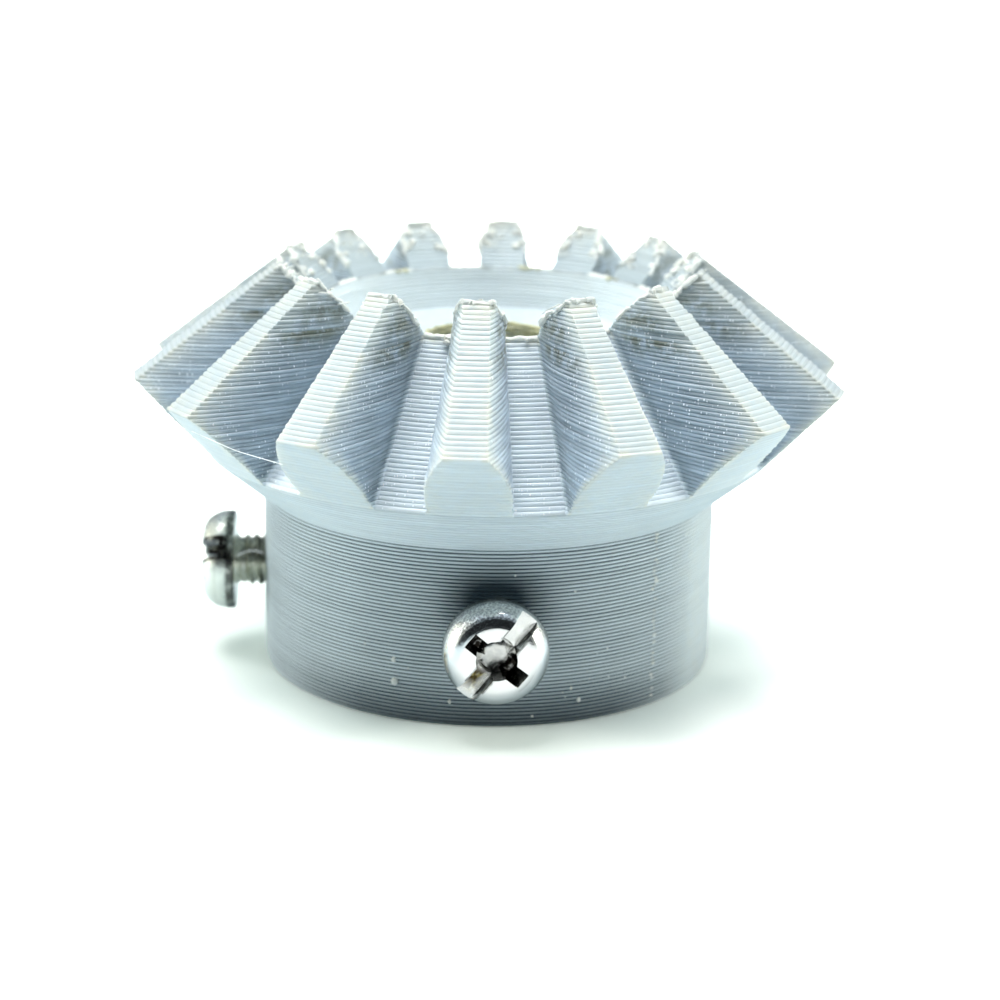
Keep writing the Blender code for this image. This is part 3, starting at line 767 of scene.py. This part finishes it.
def loose_plastic():
    shape = Shape()

    def on_hub(az, z, out=0.0):
        xy = polar(np.array(HUB_R + out), np.array(az))
        return np.array([xy[0], xy[1], z])

    # the seam, a small pip at each layer change
    for k in range(1, 48):
        if rng.random() < 0.22:
            continue
        size = rng.uniform(0.06, 0.15)
        az = 45.2 + rng.normal(0, 0.30)
        shape.blob(on_hub(az, (k + 0.5) * LAYER, 0.0),
                   (size * 1.25, 0.055, size * rng.uniform(0.5, 0.8)), cream=rng.uniform(0.2, 0.8), facing=az)
    # pips and drips elsewhere on the hub
    for az, z, s in ((-22.5, 3.3, 0.13), (-22.3, 2.1, 0.20), (-8.5, 1.3, 0.10), (23.0, 1.2, 0.12), (21.0, 1.9, 0.08)):
        shape.blob(on_hub(az, z), (s, s * 0.8, s * 1.1), cream=0.7, facing=az)
    for _ in range(46):
        az, z, s = rng.uniform(0, 360), rng.uniform(0.3, 9.3), rng.uniform(0.03, 0.08)
        # none where a screw's head comes to rest
        seated = [math.hypot(HUB_R * math.sin(math.radians(az - a)), z - h) < HEAD_R + 0.4 and math.cos(math.radians(az - a)) > 0
                  for a, h in ((FRONT_AZ, FRONT_Z), (SIDE_AZ, SIDE_Z))]
        if not any(seated):
            shape.blob(on_hub(az, z), (s, s * 0.7, s), cream=0.4, rings=5, sides=7, facing=az)
    # ragged strands round the small ends of the teeth
    for k in range(TEETH):
        for _ in range(rng.integers(5, 10)):
            t = rng.uniform(0.55, 1.05)
            edge = half_width(min(t, 1.0)) * rng.choice([-1, 1]) * rng.uniform(0.7, 1.05)
            r = (ROOT_R + (TIP_R - ROOT_R) * t) * SMALL
            z = APEX + (ROOT_Z + (TIP_Z - ROOT_Z) * t - APEX) * SMALL
            xy = polar(np.array(r), np.array(TOOTH_AZ + k * PITCH + edge))
            s = rng.uniform(0.05, 0.13)
            shape.blob((xy[0], xy[1], min(z, 22.3) - 0.08), (s * 1.4, s * 1.4, s * 0.8), cream=0.8,
                       soot=rng.choice([0.0, 0.0, 0.8]), rings=5, sides=7)
        for _ in range(rng.integers(1, 4)):
            t0 = rng.uniform(0.75, 1.0)
            a0 = TOOTH_AZ + k * PITCH + rng.uniform(-1, 1) * half_width(t0)
            r0 = (ROOT_R + (TIP_R - ROOT_R) * t0) * SMALL
            z = min(APEX + (ROOT_Z + (TIP_Z - ROOT_Z) * t0 - APEX) * SMALL, 22.25)
            length = rng.uniform(0.4, 1.3)
            n = 7
            aa = a0 + np.linspace(0, 1, n) * length * rng.choice([-1, 1]) * 4.5
            rr = r0 + np.cumsum(rng.normal(0, 0.05, n))
            zz = z - 0.05 - np.linspace(0, 1, n) ** 2 * rng.uniform(0.1, 0.5) + rng.normal(0, 0.02, n)
            pts = np.concatenate([polar(rr, aa), zz[:, None]], 1)
            shape.tube(pts, np.linspace(0.05, 0.02, n), 5, cream=0.8)
    # each small end is outlined by a ragged, paler strand
    def small_end(t, side_share):
        r = (ROOT_R + (TIP_R - ROOT_R) * t) * SMALL
        z = APEX + (ROOT_Z + (TIP_Z - ROOT_Z) * t - APEX) * SMALL
        xy = polar(r, TOOTH_AZ + k * PITCH + side_share * half_width(t))
        return np.stack([xy[:, 0], xy[:, 1], np.minimum(z, 22.32) - 0.05], -1)

    for k in range(TEETH):
        down = np.linspace(1.0, 0.30, 9)
        pts = np.concatenate([small_end(down[::-1], -1.0), small_end(np.ones(5), np.linspace(-0.8, 0.8, 5)), small_end(down, 1.0)])
        pts += rng.normal(0, 0.055, pts.shape)
        thick = np.clip(rng.normal(0.125, 0.045, len(pts)), 0.05, 0.22)
        start = 0
        while start < len(pts) - 2:
            stop = min(start + rng.integers(3, 7), len(pts))
            part = pts[start:stop] + rng.normal(0, 0.05, 3)
            shape.tube(part, thick[start:stop], 7, cream=rng.uniform(0.6, 1.0))
            start = stop - 1
        for _ in range(13):
            t, e = rng.uniform(0.40, 1.0), rng.choice([-1, 1]) * rng.uniform(0.5, 1.0)
            at = small_end(np.array([t]), np.array([e]))[0]
            s = rng.uniform(0.08, 0.21)
            at = at + rng.normal(0, 0.06, 3)
            shape.blob(at, (s * 1.2, s * 1.2, s), cream=1.0, rings=6, sides=8)
        # and the strand that closes the rim between two teeth
        aa = TOOTH_AZ + k * PITCH + np.linspace(7.2, PITCH - 7.2, 10)
        rr = np.full(10, 9.42) + rng.normal(0, 0.03, 10)
        zz = np.full(10, RIM_Z - 0.02) + rng.normal(0, 0.02, 10)
        shape.tube(np.concatenate([polar(rr, aa), zz[:, None]], 1), np.clip(rng.normal(0.13, 0.02, 10), 0.08, 0.18), 7, cream=1.0)
    # loose curls over the small ends
    for k in range(TEETH):
        for _ in range(5):
            t0 = rng.uniform(0.35, 1.0)
            a0 = TOOTH_AZ + k * PITCH + rng.uniform(-1.1, 1.1) * half_width(t0)
            r0 = (ROOT_R + (TIP_R - ROOT_R) * t0) * SMALL
            top = min(APEX + (ROOT_Z + (TIP_Z - ROOT_Z) * t0 - APEX) * SMALL, 22.3)
            n = 16
            turn = rng.uniform(0, 6.28) + np.linspace(0, rng.uniform(3.2, 6.5), n)
            size = rng.uniform(0.15, 0.38) * np.linspace(1.0, rng.uniform(0.5, 1.2), n)
            centre = polar(np.array(r0), np.array(a0))
            pts = np.stack([centre[0] + size * np.cos(turn), centre[1] + size * np.sin(turn) * 0.8,
                            top + rng.uniform(-0.02, 0.12) + 0.10 * np.sin(turn * 1.3) - np.linspace(0, 0.22, n)], -1)
            shape.tube(pts, np.linspace(0.050, 0.030, n), 5, cream=0.9)
    # a knot of plastic where the front tooth meets the rim
    for az, r, z, s in ((-10.2, 9.75, 20.05, 0.24), (-12.0, 9.70, 20.02, 0.20), (-12.9, 9.90, 19.80, 0.17),
                        (-9.6, 10.0, 19.66, 0.20), (-14.2, 9.70, 20.05, 0.13), (11.2, 9.7, 20.02, 0.12)):
        xy = polar(np.array(r), np.array(az))
        shape.blob((xy[0], xy[1], z), (s * 1.2, s * 1.2, s), cream=1.0)
    # one long thin hair across the teeth on the left
    hairs = Shape()
    a, b = polar(np.array(18.9), np.array(-53.0)), polar(np.array(18.6), np.array(-33.0))
    hair(hairs, [(a[0], a[1], 15.4), ((a[0] + b[0]) / 2, (a[1] + b[1]) / 2 - 0.1, 15.0), (b[0], b[1], 14.9)], 0.020)
    return shape, hairs


def bore_strands():
    """Yellowed, fuzzy strands round the top of the bore."""
    shape = Shape()
    n = 120
    ring = np.linspace(0, 360, n)
    for radius, drop, thick in ((0.10, -0.06, 0.15), (0.02, 0.16, 0.12), (0.03, 0.38, 0.11), (0.02, 0.62, 0.10)):
        rr = BORE_R + radius + 0.04 * np.sin(ring * 0.21 + drop * 9) + rng.normal(0, 0.02, n)
        zz = POCKET_FLOOR_Z - drop + rng.normal(0, 0.03, n)
        rr[-1], zz[-1] = rr[0], zz[0]
        shape.tube(np.concatenate([polar(rr, ring), zz[:, None]], 1), thick, 6, cream=0.2,
                   soot=np.clip(rng.normal(0.25, 0.35, (n, 6)), 0, 1))
    # a little of the same residue on the far rim of the pocket
    for az in (163.0, 164.8, 166.5, 168.5, 170.0, 131.0, 133.5, 213.0, 215.5):
        s = rng.uniform(0.09, 0.17)
        xy = polar(np.array(9.32 + rng.normal(0, 0.06)), np.array(az + rng.normal(0, 0.4)))
        shape.blob((xy[0], xy[1], RIM_Z + 0.03), (s * 1.5, s, s * 0.8), cream=0.3, soot=rng.choice([0.2, 0.9]), rings=5, sides=7)
    for _ in range(46):
        az, z, s = rng.uniform(0, 360), POCKET_FLOOR_Z + rng.uniform(-0.5, 0.12), rng.uniform(0.06, 0.16)
        xy = polar(np.array(BORE_R + 0.05), np.array(az))
        shape.blob((xy[0], xy[1], z), (s, s, s), cream=rng.choice([0.1, 0.8]), rings=5, sides=7)
    return shape


# the last number of the first two is a painted glow, emission standing in for light through thin strands
strands = plastic_material("stray_strands", (0.66, 0.70, 0.69), 0.42, (0.89, 0.89, 0.79), 0.03)
clear = plastic_material("clear_hairs", (0.80, 0.83, 0.80), 0.35, (0.92, 0.94, 0.86), 0.30)
yellowed = plastic_material("yellowed_plastic", (0.56, 0.55, 0.30), 0.45)
core = gear_core()
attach(core, "gear")
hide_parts("gear_body")
stray, hairs = loose_plastic()
for name, made in (("hub_layers", hub_skin()), ("tooth_layers", toothed_skin()), ("tooth_tip_layers", tip_skin()),
                   ("pocket_layers", pocket_skin()), ("seam_and_stray_plastic", stray), ("loose_hairs", hairs)):
    piece = made.build(name, {"seam_and_stray_plastic": strands, "loose_hairs": clear}.get(name, plastic), outward=name not in ("pocket_layers",))
    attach(piece, "gear")
fuzz = bore_strands().build("bore_edge_strands", yellowed)
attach(fuzz, "gear")


# ---------------------------------------------------------------- screws
def screw_head(name, mat, dark_slot=False):
    """Pan head with a driver slot, and a cross recess with a low boss in its floor."""
    rim = HEAD_H * 0.20
    flat_r = HEAD_R * 0.58
    profile = [(0.0, 0.0), (HEAD_R - 0.06, 0.0), (HEAD_R, 0.06), (HEAD_R, rim)]
    steps = 12
    for i in range(1, steps + 1):
        a = (math.pi / 2) * i / steps
        profile.append((flat_r + (HEAD_R - flat_r) * math.cos(a), rim + (HEAD_H - 0.05 - rim) * math.sin(a)))
    profile += [(flat_r * 0.5, HEAD_H - 0.012), (0.0, HEAD_H)]
    head = lathe_object(name, profile, 96, mat)
    cutters = []

    def cutter(size, depth, taper, label):
        """A straight-sided or tapering pocket: size at the face, narrowed to taper at its floor."""
        bm = bmesh.new()
        bmesh.ops.create_cube(bm, size=1.0)
        for v in bm.verts:
            k = taper if v.co.z < 0 else (1.0, 1.0)
            z = HEAD_H - depth if v.co.z < 0 else HEAD_H + 0.3
            v.co = Vector((v.co.x * size[0] * k[0], v.co.y * size[1] * k[1], z)) * MM
        mesh = bpy.data.meshes.new(label)
        bm.to_mesh(mesh)
        bm.free()
        obj = bpy.data.objects.new(label, mesh)
        bpy.context.scene.collection.objects.link(obj)
        cutters.append(obj)
        cut(head, obj)

    cutter((HEAD_R * 2.6, 1.08), 1.05, (1.0, 0.92), "slot")
    cutter((0.92, 3.80), 1.45, (0.85, 0.62), "cross_a")
    cutter((2.60, 0.92), 1.40, (0.60, 0.85), "cross_b")
    # the recess has a broad, slightly domed floor between the four arms
    well = lathe_object("well", [(0, HEAD_H - 1.16), (0.50, HEAD_H - 1.20), (0.98, HEAD_H - 1.30), (1.08, HEAD_H + 0.3),
                                 (0, HEAD_H + 0.3)], 48)
    cutters.append(well)
    cut(head, well)
    bpy.context.view_layer.update()
    apply_modifiers(head, *cutters)
    pad = lathe_object("pad", [(0.0, 0.3), (0.96, 0.3), (0.94, 0.52), (0.55, 0.63), (0, 0.68)], 8, mat)
    join = head.modifiers.new("pad", "BOOLEAN")
    join.operation = "UNION"
    join.solver = "EXACT"
    join.object = pad
    bpy.context.view_layer.update()
    apply_modifiers(head, pad)
    bev = head.modifiers.new("edges", "BEVEL")
    bev.width = 0.035 * MM
    bev.segments = 2
    bev.limit_method = "ANGLE"
    bev.angle_limit = math.radians(40)
    sub = head.modifiers.new("finer", "SUBSURF")
    sub.subdivision_type = "SIMPLE"
    sub.levels = sub.render_levels = 2
    bpy.context.view_layer.update()
    apply_modifiers(head)
    co = np.array([v.co for v in head.data.vertices]) / MM
    x, y, z = co.T
    r = np.hypot(x, y)
    depth = HEAD_H - z
    # painted shade darkens the arms, the foot of the boss, one slot wall, the downhill side of the recess floor and the
    # slot's outline; the open slot stays bright at one end and is tarnished at the other
    arm = np.clip((depth - 0.10) / 0.25, 0, 1) * (np.abs(y) > 0.60) * (np.abs(x) < 0.56) * (r < 2.05)
    foot = np.clip((depth - 1.25) / 0.10, 0, 1) * (r < 1.5)
    wall = np.clip((depth - 0.10) / 0.25, 0, 1) * (np.abs(np.abs(y) - 0.51) < 0.08) * (y < 0) * (r < HEAD_R - 0.1) * 0.8
    inside = (z > 0.3)
    uphill = 0.777 * x + 0.629 * y
    floor = (depth > 1.0) * (r < 1.02) * np.clip(0.30 - 0.42 * uphill, 0.10, 0.66)
    outline = (depth < 0.10) * (np.abs(np.abs(y) - 0.555) < 0.05) * (r > 1.05) * 0.70
    pit = np.maximum.reduce([arm, foot, wall, floor, outline])
    # on the side screw the slot and the middle of the recess are painted dark as well, painted shade
    if dark_slot:
        pit = np.maximum(pit, np.clip((depth + 0.02) / 0.10, 0, 1) * ((np.abs(y) < 0.70) | (r < 1.30)) * (r < HEAD_R))
    # painted shade on the cylindrical edge under the dome
    edge = np.clip((0.54 - z) / 0.16, 0, 1) * (r > HEAD_R * 0.9) * (0.85 if dark_slot else 0.62)
    pit = np.clip(np.maximum(pit * inside, edge), 0, 1)
    low = np.clip((-x - 0.95) / 0.2, 0, 1) * np.clip((2.3 + x) / 0.3, 0, 1) * np.clip((y + 0.30) / 0.2, 0, 1)
    soot = np.clip((depth - 0.45) / 0.4, 0, 1) * (0.15 + 0.85 * low) * (r < HEAD_R - 0.12) * inside
    # the top of the dome is finely pitted
    grain = np.clip((uphill - 0.6) / 0.9, 0, 1) * np.clip((r - 1.62) / 0.2, 0, 1) * (depth < 1.3) * (np.abs(y) > 0.62)
    for label, values in (("soot", soot), ("painted_shade", pit), ("grain", grain)):
        attr = head.data.attributes.get(label) or head.data.attributes.new(label, "FLOAT", "POINT")
        attr.data.foreach_set("value", values.astype(np.float32))
    head.data.shade_smooth()
    head.data.set_sharp_from_angle(angle=math.radians(32))
    return head


def screw_shank(turn, length=10.0):
    """A right-hand M3 thread as a fine grid, running out below the head. Painted shade darkens it along its top and in
    the thread valleys.
    """
    shape = Shape()
    sides = 40
    step = 0.5 / 8
    z = np.arange(-length, 0.0 + step * 0.5, step)
    a = np.linspace(0, 2 * np.pi, sides, endpoint=False)
    phase = (z[:, None] / 0.5 - a[None] / (2 * np.pi)) % 1.0
    tooth = 1 - np.abs(phase * 2 - 1) * 1.15
    tooth = np.clip(tooth, 0.0, 0.88) / 0.88
    fade = np.clip((-z - 0.25) / 0.5, 0, 1)[:, None] * np.clip((z + length) / 0.45, 0.25, 1)[:, None]
    r = 1.24 + 0.22 * tooth * fade
    r = np.where((z > -0.25)[:, None], 1.34, r)
    rows = np.stack([r * np.cos(a)[None], r * np.sin(a)[None], np.broadcast_to(z[:, None], r.shape)], -1)
    upward = 1.0 / 1.46 * (rows[..., 1] * math.cos(math.radians(turn)) + rows[..., 0] * math.sin(math.radians(turn)))
    valley = 1 - tooth * fade
    dark = np.clip((upward - 0.05) / 0.4, 0, 1) * 0.52 + 0.22 * valley * (z < -0.3)[:, None]
    shape.grid(rows, True, 0.0, 0.15, painted_shade=dark)
    shape.faces.append(tuple(reversed(range(sides))))
    return shape


def place_screw(tag, az, height, turn, body):
    metal = plated_dull if tag == "side" else plated
    head = screw_head(f"{tag}_screw_head", metal, dark_slot=tag == "side")
    head.matrix_world = radial(az, SEAT_R, height, turn)
    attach(head, body)
    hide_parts(f"{tag}_set_screw")
    shank = screw_shank(turn).build(f"{tag}_screw_thread", metal, sharp=60)
    shank.matrix_world = radial(az, SEAT_R, height, turn)
    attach(shank, body)


place_screw("front", FRONT_AZ, FRONT_Z, 51.0, "front_screw")
place_screw("side", SIDE_AZ, SIDE_Z, 32.0, "side_screw")

# a thin hair lies along the side screw's shank, close enough to follow it into the hole
along_shank = Shape()
lie = [(-1.58, 31.0), (-1.25, 35.5), (-0.90, 36.0), (-0.50, 31.5), (-0.12, 24.0)]
hair(along_shank, [(1.515 * math.cos(math.radians(a)), 1.515 * math.sin(math.radians(a)), z) for z, a in lie], 0.034)
strand = along_shank.build("side_screw_hair", clear)
strand.matrix_world = radial(SIDE_AZ, SEAT_R, SIDE_Z, 0.0)
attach(strand, "side_screw")

for nut in ("front_captive_nut", "side_captive_nut"):
    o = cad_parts[nut]
    o.data.materials.clear()
    o.data.materials.append(zinc)
    attr = o.data.attributes.get("soot") or o.data.attributes.new("soot", "FLOAT", "POINT")

# ---------------------------------------------------------------- table, lights and camera
bm = bmesh.new()
bmesh.ops.create_grid(bm, x_segments=1, y_segments=1, size=2.5)
table_mesh = bpy.data.meshes.new("table_top")
bm.to_mesh(table_mesh)
bm.free()
table = bpy.data.objects.new("table_top", table_mesh)
table.location = (0, 0, -0.00002)
bpy.context.scene.collection.objects.link(table)
mat, N, L, bsdf = new_material("white_table")
bsdf.inputs["Base Color"].default_value = (0.57, 0.66, 0.70, 1)
bsdf.inputs["Roughness"].default_value = 0.6
# seen directly it is exposed to plain white away from the object, as a light table would be
bright = N.new("ShaderNodeBsdfDiffuse")
where = N.new("ShaderNodeTexCoord").outputs["Object"]
across = N.new("ShaderNodeSeparateXYZ")
L.new(where, across.inputs[0])
# brighter towards the right, painted light that thins the shadow on that side
L.new(mix_colour(N, L, ramp(N, L, across.outputs[0], -0.016, 0.012), (1.20, 1.26, 1.17), (1.36, 1.37, 1.28)), bright.inputs["Color"])
spread = N.new("ShaderNodeVectorMath")
spread.operation = "LENGTH"
L.new(where, spread.inputs[0])
far = ramp(N, L, spread.outputs["Value"], 0.025, 0.060)
glow = N.new("ShaderNodeEmission")
glow.inputs["Color"].default_value = (1, 1, 1, 1)
ray = N.new("ShaderNodeLightPath")
# for reflection rays only, a patch of floor in front of the gear is paler: a painted reflection for polished metal
# facing the viewer
near_front = math_node(N, L, "MULTIPLY", ramp(N, L, across.outputs[1], -0.012, -0.022), ramp(N, L, across.outputs[0], -0.014, -0.008), True)
near_front = math_node(N, L, "MULTIPLY", near_front, ray.outputs["Is Glossy Ray"], True)
L.new(mix_colour(N, L, near_front, (0.57, 0.66, 0.70), (0.74, 0.76, 0.76)), bsdf.inputs["Base Color"])
seen = math_node(N, L, "MULTIPLY", math_node(N, L, "MULTIPLY", far, 1.3), ray.outputs["Is Camera Ray"])
L.new(seen, glow.inputs["Strength"])
both = N.new("ShaderNodeAddShader")
L.new(bright.outputs[0], both.inputs[0])
L.new(glow.outputs[0], both.inputs[1])
pick = N.new("ShaderNodeMixShader")
L.new(ray.outputs["Is Camera Ray"], pick.inputs[0])
L.new(bsdf.outputs[0], pick.inputs[1])
L.new(both.outputs[0], pick.inputs[2])
L.new(pick.outputs[0], N["Material Output"].inputs["Surface"])
table_mesh.materials.append(mat)

SKY_LOW, SKY_HIGH, SKY_SIDE, SKY_FRONT = 0.14, 0.6, 1.1, 0.015
TINT = (0.80, 0.98, 1.14)
world = bpy.data.worlds.new("studio")
bpy.context.scene.world = world
world.use_nodes = True
WN, WL = world.node_tree.nodes, world.node_tree.links
background = WN["Background"]
direction = WN.new("ShaderNodeTexCoord").outputs["Generated"]
wsep = WN.new("ShaderNodeSeparateXYZ")
WL.new(direction, wsep.inputs[0])
# bright overhead and at both sides, dim towards the viewer; the camera itself sees plain white
height_fac = ramp(WN, WL, wsep.outputs[2], 0.0, 0.9)
side_fac = ramp(WN, WL, math_node(WN, WL, "ABSOLUTE", wsep.outputs[0]), 0.45, 0.95)
front_fac = ramp(WN, WL, math_node(WN, WL, "MULTIPLY", wsep.outputs[1], -1.0), 0.12, 0.60)
sky = mix_colour(WN, WL, height_fac, tuple(SKY_LOW * c for c in TINT), tuple(SKY_HIGH * c for c in TINT))
sky = mix_colour(WN, WL, side_fac, sky, (SKY_SIDE * 0.94, SKY_SIDE, SKY_SIDE * 0.94))
sky = mix_colour(WN, WL, front_fac, sky, tuple(SKY_FRONT * c for c in TINT))
path = WN.new("ShaderNodeLightPath")
boost = math_node(WN, WL, "ADD", math_node(WN, WL, "MULTIPLY", path.outputs["Is Glossy Ray"], 0.6), 1.0)
gain = WN.new("ShaderNodeVectorMath")
gain.operation = "SCALE"
WL.new(sky, gain.inputs[0])
WL.new(boost, gain.inputs["Scale"])
sky = gain.outputs[0]
sky = mix_colour(WN, WL, path.outputs["Is Camera Ray"], sky, (1.6, 1.6, 1.6))
WL.new(sky, background.inputs["Color"])
background.inputs["Strength"].default_value = 1.0


def softbox(name, location, target, size, power, colour=(1, 1, 1)):
    data = bpy.data.lights.new(name, "AREA")
    data.shape = "RECTANGLE"
    data.size, data.size_y = size
    data.energy = power
    data.color = colour
    obj = bpy.data.objects.new(name, data)
    obj.location = location
    obj.rotation_mode = "QUATERNION"
    obj.rotation_quaternion = (Vector(target) - Vector(location)).to_track_quat("-Z", "Y")
    obj.visible_camera = False
    bpy.context.scene.collection.objects.link(obj)
    return obj


softbox("top_softbox", (-0.03, 0.04, 0.40), (0, 0, 0.01), (0.30, 0.26), 2.35)
softbox("left_softbox", (-0.34, -0.02, 0.07), (0, 0, 0.008), (0.20, 0.12), 0.48, (0.96, 1.0, 0.93))
softbox("right_softbox", (0.34, -0.02, 0.07), (0, 0, 0.008), (0.20, 0.12), 0.44, (0.96, 1.0, 0.93))

e, roll = 0.2867, 0.0152
K = 12.5 / 13 * MM
fwd = Vector((0, math.cos(e), -math.sin(e)))
right, up = Vector((1, 0, 0)), Vector((0, math.sin(e), math.cos(e)))
r2 = right * math.cos(roll) + up * math.sin(roll)
u2 = -right * math.sin(roll) + up * math.cos(roll)
cam_data = bpy.data.cameras.new("camera")
cam = bpy.data.objects.new("camera", cam_data)
bpy.context.scene.collection.objects.link(cam)
place = Matrix((r2, u2, -fwd)).transposed().to_4x4()
place.translation = Vector((0.6476 * K, 0, 8.9918 * K)) - fwd * 146.197 * K
cam.matrix_world = place
cam_data.sensor_width = 36
cam_data.lens = 2513.9 * 36 / 1000
cam_data.clip_start, cam_data.clip_end = 0.005, 10
bpy.context.scene.camera = cam

# the lens is focused on the near side of the gear, wherever the camera stands
centre = bpy.data.objects.new("focus_centre", None)
centre.location = (0, 0, 0.009)
bpy.context.scene.collection.objects.link(centre)
cam_data.dof.use_dof = True
cam_data.dof.aperture_fstop = 42.0
cam_data.dof.focus_distance = 0.126
drv = cam_data.dof.driver_add("focus_distance").driver
drv.type = "SCRIPTED"
var = drv.variables.new()
var.name = "d"
var.type = "LOC_DIFF"
var.targets[0].id = cam
var.targets[1].id = centre
drv.expression = "d - 0.0145"

scene = bpy.context.scene
scene.view_settings.view_transform = "Standard"
scene.view_settings.look = "None"
